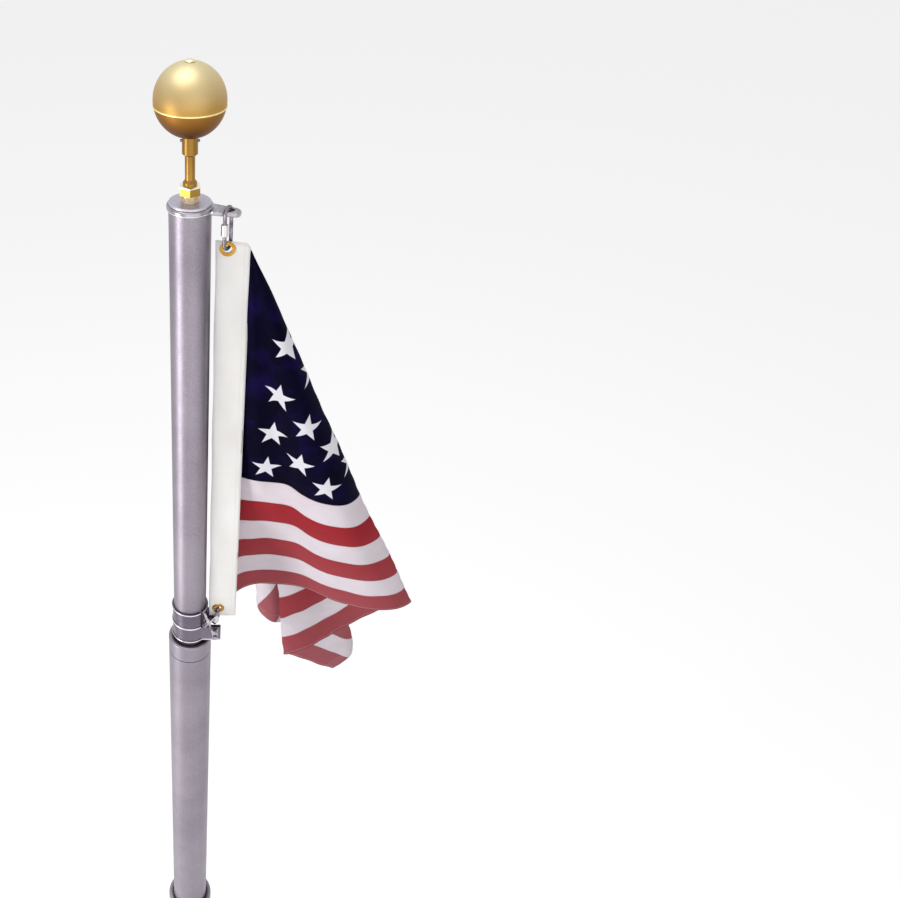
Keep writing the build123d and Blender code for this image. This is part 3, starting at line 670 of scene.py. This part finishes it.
def flagFinish():
    material, tree, sockets = newMaterial("flagFabric", Roughness=0.78, Specular_IOR_Level=0.04)
    parts = addNode(tree, "ShaderNodeSeparateXYZ")
    feed(tree, parts.inputs[0], addNode(tree, "ShaderNodeUVMap", uv_map="flatCloth").outputs["UV"])
    u, v = parts.outputs[0], parts.outputs[1]
    cantonDepth = flag["hoist"] * flag["cantonDepth"]
    upper = calc(tree, "DIVIDE", v, cantonDepth / 7)
    lower = calc(tree, "ADD", calc(tree, "DIVIDE", calc(tree, "SUBTRACT", v, cantonDepth),
                                   (flag["hoist"] - cantonDepth) / 6), 7)
    isLower = calc(tree, "GREATER_THAN", v, cantonDepth)
    stripe = calc(tree, "ADD", calc(tree, "MULTIPLY", upper, calc(tree, "SUBTRACT", 1, isLower)),
                  calc(tree, "MULTIPLY", lower, isLower))
    isWhite = calc(tree, "GREATER_THAN", calc(tree, "MODULO", stripe, 2), 1)
    threads = useGroup(tree, "wovenThreads", Threads_per_metre=1500.0, Slub=0.6)
    tone = remap(tree, threads["Tone"], 0.3, 0.7)
    red = mixColour(tree, tone, rgb(152, 24, 33), rgb(166, 36, 46))
    # The sun has faded the lower stripes and the fly end
    faded = calc(tree, "MAXIMUM", remap(tree, v, *flag["fadeDown"], 0.1, 0.7),
                 remap(tree, u, *flag["fadeOut"], 0.0, 0.95))
    red = mixColour(tree, faded, red, rgb(164, 92, 98))
    white = mixColour(tree, tone, rgb(218, 207, 214), rgb(231, 221, 228))
    blue = mixColour(tree, tone, rgb(3, 2, 20), rgb(8, 5, 34))
    worn = remap(tree, noise(tree, objectPlace(tree), 26.0, 4.0, 0.6), 0.48, 0.72, 0.0, 0.8)
    blue = mixColour(tree, worn, blue, rgb(22, 12, 66))
    inCanton = calc(tree, "MULTIPLY", calc(tree, "LESS_THAN", u, flag["cantonWidth"]),
                    calc(tree, "LESS_THAN", v, cantonDepth))
    star = starGrid(tree, u, v)
    canton = mixColour(tree, star, blue, rgb(230, 228, 235))
    colour = mixColour(tree, isWhite, red, white)
    colour = mixColour(tree, inCanton, colour, canton)
    # A folded seam lies as a slightly raised, darker line at each stripe's edge
    away = calc(tree, "PINGPONG", stripe, 0.5)
    seam = remap(tree, away, 0.0, 0.06, 1.0, 0.0)
    seam = calc(tree, "MULTIPLY", seam, calc(tree, "SUBTRACT", 1, inCanton))
    colour = mixColour(tree, calc(tree, "MULTIPLY", seam, 0.18), colour, rgb(96, 44, 54))
    feed(tree, sockets["Base Color"], colour)
    height = calc(tree, "ADD", threads["Height"], calc(tree, "MULTIPLY", seam, 1.5))
    height = calc(tree, "ADD", height, calc(tree, "MULTIPLY", calc(tree, "MULTIPLY", star, inCanton), 1.2))
    addBump(tree, sockets, height, 0.35, 0.0004)
    return material


def canvasFinish():
    material, tree, sockets = newMaterial("headerCanvas", Roughness=0.82, Specular_IOR_Level=0.2)
    threads = useGroup(tree, "wovenThreads", Threads_per_metre=800.0, Slub=0.7)
    colour = mixColour(tree, remap(tree, threads["Tone"], 0.3, 0.7), rgb(244, 241, 237), rgb(253, 251, 249))
    feed(tree, sockets["Base Color"], colour)
    addBump(tree, sockets, threads["Height"], 0.45, 0.0006)
    return material


def threadFinish():
    material, tree, sockets = newMaterial("seamThread", Roughness=0.6, Specular_IOR_Level=0.3)
    twist = noise(tree, stretched(tree, objectPlace(tree), (900, 900, 900)), 1.0, 2.0)
    feed(tree, sockets["Base Color"], mixColour(tree, twist, rgb(214, 208, 210), rgb(240, 236, 236)))
    feed(tree, sockets["Roughness"], remap(tree, twist, 0.3, 0.7, 0.5, 0.7))
    return material


finishes["flagFabric"] = flagFinish()
finishes["headerCanvas"] = canvasFinish()
finishes["seamThread"] = threadFinish()


def makeCloth():
    # Two skins of one grid of rays and levels, closed along the edges
    rays, levels = flag["rays"], flag["levels"]
    share = cornerTurn / (math.pi / 2)
    first = round(rays * share)
    angles = np.concatenate([
        np.linspace(0, cornerTurn, first, endpoint=False),
        np.linspace(cornerTurn, math.pi / 2, rays - first),
    ])
    reach = clothReach(angles)
    shares = np.linspace(0, 1, levels + 1)[1:]
    radius = reach[:, None] * shares[None, :]
    u = np.concatenate([[0.0], (radius * np.sin(angles)[:, None]).ravel()])
    v = np.concatenate([[0.0], (radius * np.cos(angles)[:, None]).ravel()])
    middle, normal = clothSurface(u, v)
    normal[0] = normal[1:1 + levels * 20:levels].mean(axis=0)
    normal[0] /= np.linalg.norm(normal[0])
    half = flag["thickness"] / 2
    points = np.concatenate([middle + normal * half, middle - normal * half])
    count = len(u)

    def at(ray, level):
        return 1 + ray * levels + level

    faces = []
    for ray in range(rays - 1):
        faces.append((0, at(ray, 0), at(ray + 1, 0)))
        for level in range(levels - 1):
            faces.append((at(ray, level), at(ray, level + 1), at(ray + 1, level + 1), at(ray + 1, level)))
    back = [tuple(corner + count for corner in reversed(face)) for face in faces]
    rim = [0] + [at(0, level) for level in range(levels)]
    rim += [at(ray, levels - 1) for ray in range(1, rays)]
    rim += [at(rays - 1, level) for level in range(levels - 2, -1, -1)]
    sides = [(b, a, a + count, b + count) for a, b in zip(rim, rim[1:] + rim[:1])]
    flat = np.column_stack([np.concatenate([u, u]), np.concatenate([v, v])])
    return makePiece("flagCloth", points, faces + back + sides, finishes["flagFabric"], "flag",
                     flat)


cloth = makeCloth()
print("cloth made:", len(cloth.data.polygons), "faces")


# The header: a strip of folded canvas with a hole at each grommet

header = {
    "overlap": 0.0028,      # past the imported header's edge, over the cloth
    "thickness": 0.0023,
    "columns": 14,
    "rows": 170,
    "wave": 0.0007,
    "slant": 0.0040,        # drop of the top edge toward the cloth
    "corner": 0.0060,       # radius of the top corner by the cloth
    "holeSize": 0.0052,     # radius
    "calmNear": 0.012,      # from a grommet, where the waves start to grow
    "calmRun": 0.03,
    "edgeWave": 0.0004,
}
grommetMiddles = [sum(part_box(name), Vector()) / 2 for name in ("upper_grommet", "lower_grommet")]


def headerPlace(x, z, face):
    # The strip bulges a little between its stitched edges; face is one in front and minus one behind
    low, high = headerBox
    middleY = (low.y + high.y) / 2
    away = min(abs(z - middle.z) for middle in grommetMiddles)
    calm = max(0.0, min(1.0, (away - header["calmNear"]) / header["calmRun"]))
    side = (x - low.x) / (high.x + header["overlap"] - low.x)
    bulge = 0.5 + 0.5 * math.sin(math.pi * side) ** 0.5
    wave = header["wave"] * calm * (math.sin(31 * z + 4 * side) + 0.5 * math.sin(67 * z - 3 * side))
    return middleY + wave - face * header["thickness"] / 2 * bulge


def headerTop(x):
    low, high = headerBox
    right = high.x + header["overlap"]
    into = max(0.0, x - (right - header["corner"]))
    rounding = header["corner"] - math.sqrt(header["corner"] ** 2 - min(into, header["corner"]) ** 2)
    return high.z - header["slant"] * (x - low.x) / (right - low.x) - rounding


def makeHeader():
    low, high = headerBox
    right = high.x + header["overlap"]
    columns, rows = header["columns"], header["rows"]
    points, flat = [], []
    for face in (1, -1):
        for row in range(rows + 1):
            for column in range(columns + 1):
                x = low.x + (right - low.x) * column / columns
                z = headerTop(x) - (headerTop(x) - low.z) * row / rows
                edge = header["edgeWave"] * math.sin(43 * z + column)
                points.append((x + edge * (column == 0), headerPlace(x, z, face), z))
                flat.append((x, high.z - z))
    layer = (rows + 1) * (columns + 1)

    def at(row, column):
        return row * (columns + 1) + column

    faces = []
    for row in range(rows):
        for column in range(columns):
            faces.append((at(row, column), at(row + 1, column), at(row + 1, column + 1), at(row, column + 1)))
    back = [tuple(corner + layer for corner in reversed(face)) for face in faces]
    rim = [at(row, 0) for row in range(rows + 1)]
    rim += [at(rows, column) for column in range(1, columns + 1)]
    rim += [at(row, columns) for row in range(rows - 1, -1, -1)]
    rim += [at(0, column) for column in range(columns - 1, 0, -1)]
    sides = [(b, a, a + layer, b + layer) for a, b in zip(rim, rim[1:] + rim[:1])]
    strip = makePiece("headerStrip", points, faces + back + sides, finishes["headerCanvas"], "flag",
                      flat)
    cutHoles(strip)
    return strip


def cutHoles(strip):
    # A round hole through the strip at each grommet
    cutters = []
    for middle in grommetMiddles:
        bpy.ops.mesh.primitive_cylinder_add(vertices=32, radius=header["holeSize"], depth=0.02,
                                            location=middle, rotation=(math.pi / 2, 0, 0))
        cutter = bpy.context.object
        cutters.append(cutter)
        cut = strip.modifiers.new(cutter.name, "BOOLEAN")
        cut.object = cutter
        cut.operation = "DIFFERENCE"
        cut.solver = "EXACT"
    depsgraph = bpy.context.evaluated_depsgraph_get()
    holed = bpy.data.meshes.new_from_object(strip.evaluated_get(depsgraph), depsgraph=depsgraph)
    strip.modifiers.clear()
    strip.data = holed
    holed.name = "headerStrip"
    while len(holed.materials) > 1:
        holed.materials.pop()
    for cutter in cutters:
        bpy.data.objects.remove(cutter)


headerStrip = makeHeader()
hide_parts("flag_cloth")
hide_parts("flag_header")
print("header made:", len(headerStrip.data.polygons), "faces")


# Geometry nodes lay the short threads of the stitches along guide lines and wind the boss's screw thread

stitch = {
    "length": 0.0030,
    "pitch": 0.0040,
    "thickness": 0.00045,
    "clothLift": 0.000105,      # of the thread's middle above the cloth and the header
    "headerLift": 0.0001,
    "seamRows": (0.0015, 0.0060),   # from a stripe's seam into its white side
    "hem": 0.004,
    "flyRows": (0.003, 0.010, 0.017, 0.024),
    "endGap": 0.002,            # where rows stop before the fly end, and from the canton's edge
    "inset": 0.003,             # of the other rows from the edges
    "clothRow": 0.007,          # the header's second row by the cloth
}


def newTree(name, values):
    tree = bpy.data.node_groups.new(name, "GeometryNodeTree")
    tree.interface.new_socket("Geometry", in_out="INPUT", socket_type="NodeSocketGeometry")
    for label, value in values.items():
        tree.interface.new_socket(label, in_out="INPUT", socket_type="NodeSocketFloat").default_value = value
    tree.interface.new_socket("Finish", in_out="INPUT", socket_type="NodeSocketMaterial")
    tree.interface.new_socket("Geometry", in_out="OUTPUT", socket_type="NodeSocketGeometry")
    return tree, addNode(tree, "NodeGroupInput").outputs


def endTree(tree, given, made):
    # What the tree has made takes its finish and goes out
    coloured = addNode(tree, "GeometryNodeSetMaterial")
    feed(tree, coloured.inputs["Geometry"], made)
    feed(tree, coloured.inputs["Material"], given["Finish"])
    feed(tree, addNode(tree, "NodeGroupOutput").inputs[0], coloured.outputs[0])


def makeStitchTree():
    tree, given = newTree("stitchRow", {"Pitch": 0.004, "Length": 0.003, "Radius": 0.0002})
    lines = addNode(tree, "GeometryNodeMeshToCurve")
    feed(tree, lines.inputs["Mesh"], given["Geometry"])
    spaced = addNode(tree, "GeometryNodeResampleCurve", mode="LENGTH")
    feed(tree, spaced.inputs["Curve"], lines.outputs["Curve"])
    feed(tree, spaced.inputs["Length"], given["Pitch"])
    thread = addNode(tree, "GeometryNodeMeshIcoSphere")
    thread.inputs["Subdivisions"].default_value = 1
    feed(tree, thread.inputs["Radius"], given["Radius"])
    stretch = addNode(tree, "ShaderNodeCombineXYZ")
    share = calc(tree, "DIVIDE", given["Length"], calc(tree, "MULTIPLY", given["Radius"], 2))
    for socket, value in zip(stretch.inputs, (1, 1, share)):
        feed(tree, socket, value)
    turned = addNode(tree, "FunctionNodeAlignEulerToVector", axis="Z")
    feed(tree, turned.inputs["Vector"], addNode(tree, "GeometryNodeInputTangent").outputs[0])
    placed = addNode(tree, "GeometryNodeInstanceOnPoints")
    feed(tree, placed.inputs["Points"], spaced.outputs["Curve"])
    feed(tree, placed.inputs["Instance"], thread.outputs["Mesh"])
    feed(tree, placed.inputs["Rotation"], turned.outputs[0])
    feed(tree, placed.inputs["Scale"], stretch.outputs[0])
    real = addNode(tree, "GeometryNodeRealizeInstances")
    feed(tree, real.inputs[0], placed.outputs["Instances"])
    endTree(tree, given, real.outputs[0])
    return tree


stitchTree = makeStitchTree()


def applyTree(piece, tree, values):
    # Sets a tree's named inputs, evaluates it once and keeps the plain mesh
    worker = piece.modifiers.new(tree.name, "NODES")
    worker.node_group = tree
    for item in tree.interface.items_tree:
        if item.item_type == "SOCKET" and item.in_out == "INPUT" and item.name in values:
            worker[item.identifier] = values[item.name]
    piece.update_tag()
    depsgraph = bpy.context.evaluated_depsgraph_get()
    plain = bpy.data.meshes.new_from_object(piece.evaluated_get(depsgraph), depsgraph=depsgraph)
    piece.modifiers.clear()
    piece.data = plain
    plain.name = piece.name


def makeStitches(name, rows, body):
    # rows is a list of point lists, each one a line of stitching on the cloth's face
    points, edges = [], []
    for row in rows:
        start = len(points)
        points += [tuple(point) for point in row]
        edges += [(start + index, start + index + 1) for index in range(len(row) - 1)]
    mesh = bpy.data.meshes.new(name)
    mesh.from_pydata(points, edges, [])
    piece = bpy.data.objects.new(name, mesh)
    bpy.context.collection.objects.link(piece)
    applyTree(piece, stitchTree, {
        "Pitch": stitch["pitch"], "Length": stitch["length"], "Radius": stitch["thickness"] / 2,
        "Finish": finishes["seamThread"],
    })
    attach(piece, body)
    return piece


def clothRow(u, v, side):
    place, normal = clothSurface(np.asarray(u), np.asarray(v))
    return place + normal * side * (flag["thickness"] / 2 + stitch["clothLift"])


def seamRows():
    # Two rows along each stripe seam, on its white side, and rows along the hems
    rows = []
    cantonDepth = flag["hoist"] * flag["cantonDepth"]
    seams = [cantonDepth * count / 7 for count in range(1, 7)]
    seams += [cantonDepth + (flag["hoist"] - cantonDepth) * count / 6 for count in range(6)]
    for number, seam in enumerate(seams, start=1):
        start = flag["cantonWidth"] if seam < cantonDepth - 0.001 else stitch["hem"]
        run = np.linspace(start, flag["fly"] - stitch["endGap"], 400)
        towardWhite = 1 if number % 2 else -1
        for away in stitch["seamRows"]:
            rows.append((run, np.full_like(run, seam + towardWhite * away)))
    for edge in (stitch["hem"], flag["hoist"] - stitch["hem"]):
        run = np.linspace(stitch["hem"], flag["fly"] - stitch["endGap"], 400)
        rows.append((run, np.full_like(run, edge)))
    inset = stitch["inset"]
    for edge in stitch["flyRows"]:
        run = np.linspace(inset, flag["hoist"] - inset, 300)
        rows.append((np.full_like(run, flag["fly"] - edge), run))
    run = np.linspace(inset, cantonDepth, 200)
    rows.append((np.full_like(run, flag["cantonWidth"] - stitch["endGap"]), run))
    return rows


def headerRows():
    # Rows down both sides and along both ends of the header, on both faces
    rows = []
    low, high = headerBox
    inset = stitch["inset"]
    right = high.x + header["overlap"]

    def onFace(x, z):
        return x, headerPlace(x, z, face) - face * stitch["headerLift"], z

    for face in (1, -1):
        for x in (low.x + inset, right - inset, right - stitch["clothRow"]):
            rows.append([onFace(x, z) for z in np.linspace(headerTop(x) - inset, low.z + inset, 300)])
        across = np.linspace(low.x + inset, right - inset, 30)
        rows.append([onFace(x, headerTop(x) - inset) for x in across])
        rows.append([onFace(x, low.z + inset) for x in across])
    return rows


clothStitches = makeStitches(
    "clothStitches", [clothRow(u, v, side) for u, v in seamRows() for side in (1, -1)], "flag")
headerStitches = makeStitches("headerStitches", headerRows(), "flag")
print("stitches made:", len(clothStitches.data.polygons), "and", len(headerStitches.data.polygons), "faces")


# Screw thread: a wire wound round the boss by geometry nodes

bossThread = {"pitch": 0.0021, "wire": 0.00060, "sunk": 0.0001, "endGap": 0.0006}


def makeThreadTree():
    tree, given = newTree("screwThread", {"Radius": 0.009, "Height": 0.008, "Turns": 5.0, "Wire": 0.0003})
    coil = addNode(tree, "GeometryNodeCurveSpiral")
    coil.inputs["Resolution"].default_value = 40
    for socket, label in (("Start Radius", "Radius"), ("End Radius", "Radius"), ("Height", "Height"),
                          ("Rotations", "Turns")):
        feed(tree, coil.inputs[socket], given[label])
    ring = addNode(tree, "GeometryNodeCurvePrimitiveCircle")
    ring.inputs["Resolution"].default_value = 8
    feed(tree, ring.inputs["Radius"], given["Wire"])
    swept = addNode(tree, "GeometryNodeCurveToMesh")
    feed(tree, swept.inputs["Curve"], coil.outputs["Curve"])
    feed(tree, swept.inputs["Profile Curve"], ring.outputs["Curve"])
    swept.inputs["Fill Caps"].default_value = True
    smooth = addNode(tree, "GeometryNodeSetShadeSmooth")
    feed(tree, smooth.inputs[0], swept.outputs["Mesh"])
    endTree(tree, given, smooth.outputs[0])
    return tree


threadTree = makeThreadTree()


def makeThread(name, foot, radius, height, pitch, wire, finish, body):
    mesh = bpy.data.meshes.new(name)
    mesh.from_pydata([(0, 0, 0)], [], [])
    piece = bpy.data.objects.new(name, mesh)
    bpy.context.collection.objects.link(piece)
    applyTree(piece, threadTree, {
        "Radius": radius, "Height": height, "Turns": height / pitch, "Wire": wire, "Finish": finishes[finish],
    })
    piece.data.transform(Matrix.Translation(foot))
    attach(piece, body)
    return piece


bossLow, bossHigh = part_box("spindle_boss")
makeThread("bossThread", (0, 0, bossLow.z + bossThread["endGap"]), bossHigh.x - bossThread["sunk"],
           bossHigh.z - bossLow.z - 2 * bossThread["endGap"], bossThread["pitch"], bossThread["wire"],
           "bossMetal", "top")
print("thread wound")


# Stage: a plain pale floor, a tall lamp on the left, a broad one above and an even fill in front

stageSet = {
    "floor": rgb(214, 214, 216),
    "floorHalf": 60.0,
    "floorWhite": 0.5,          # share of plain white that sight rays see in the floor
    "skyStrength": 0.55,
    "skyWhite": 0.87,           # what sight rays see beyond the floor, as bright as the far floor
}
# Each lamp's watts, size, place and aim; heights are from the top cap
lampSet = {
    "sideLamp": (44.0, (0.8, 2.6), (-2.2, -1.15, -1.6), (0, 0, -1.6)),
    "topLamp": (120.0, (3.5, 3.5), (-0.95, -0.25, 4.5), (0, 0, 0)),
    "fillLamp": (52.0, (5.0, 5.0), (0.8, -3.4, -0.6), (0.1, 0, -0.5)),
}


def sightRay(tree):
    # One for camera, glossy and transmission rays
    path = addNode(tree, "ShaderNodeLightPath").outputs
    return calc(tree, "MAXIMUM", path["Is Camera Ray"],
                calc(tree, "MAXIMUM", path["Is Glossy Ray"], path["Is Transmission Ray"]))


def makeFloor():
    half = stageSet["floorHalf"]
    corners = [(-half, -half, 0), (half, -half, 0), (half, half, 0), (-half, half, 0)]
    mesh = bpy.data.meshes.new("floor")
    mesh.from_pydata(corners, [], [(0, 1, 2, 3)])
    floor = bpy.data.objects.new("floor", mesh)
    bpy.context.collection.objects.link(floor)
    material, tree, sockets = newMaterial("floorPaint", Roughness=0.9, Specular_IOR_Level=0.0)
    sockets["Base Color"].default_value = stageSet["floor"]
    sockets["Emission Color"].default_value = (1, 1, 1, 1)
    feed(tree, sockets["Emission Strength"], calc(tree, "MULTIPLY", sightRay(tree), stageSet["floorWhite"]))
    mesh.materials.append(material)


def makeWorld():
    world = bpy.data.worlds.new("studio")
    bpy.context.scene.world = world
    world.use_nodes = True
    tree = world.node_tree
    background = next(node for node in tree.nodes if node.type == "BACKGROUND")
    background.inputs["Color"].default_value = (1, 1, 1, 1)
    strength = remap(tree, sightRay(tree), 0.0, 1.0, stageSet["skyStrength"], stageSet["skyWhite"])
    feed(tree, background.inputs["Strength"], strength)


def makeLamps():
    cap = Vector((0, 0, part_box("top_cap")[1].z))
    for name, (power, size, place, target) in lampSet.items():
        data = bpy.data.lights.new(name, "AREA")
        data.energy = power
        data.shape = "RECTANGLE"
        data.size, data.size_y = size
        lamp = bpy.data.objects.new(name, data)
        lamp.location = cap + Vector(place)
        lamp.rotation_euler = (Vector(target) - Vector(place)).to_track_quat("-Z", "Y").to_euler()
        bpy.context.collection.objects.link(lamp)


makeFloor()
makeWorld()
makeLamps()
print("stage lit")
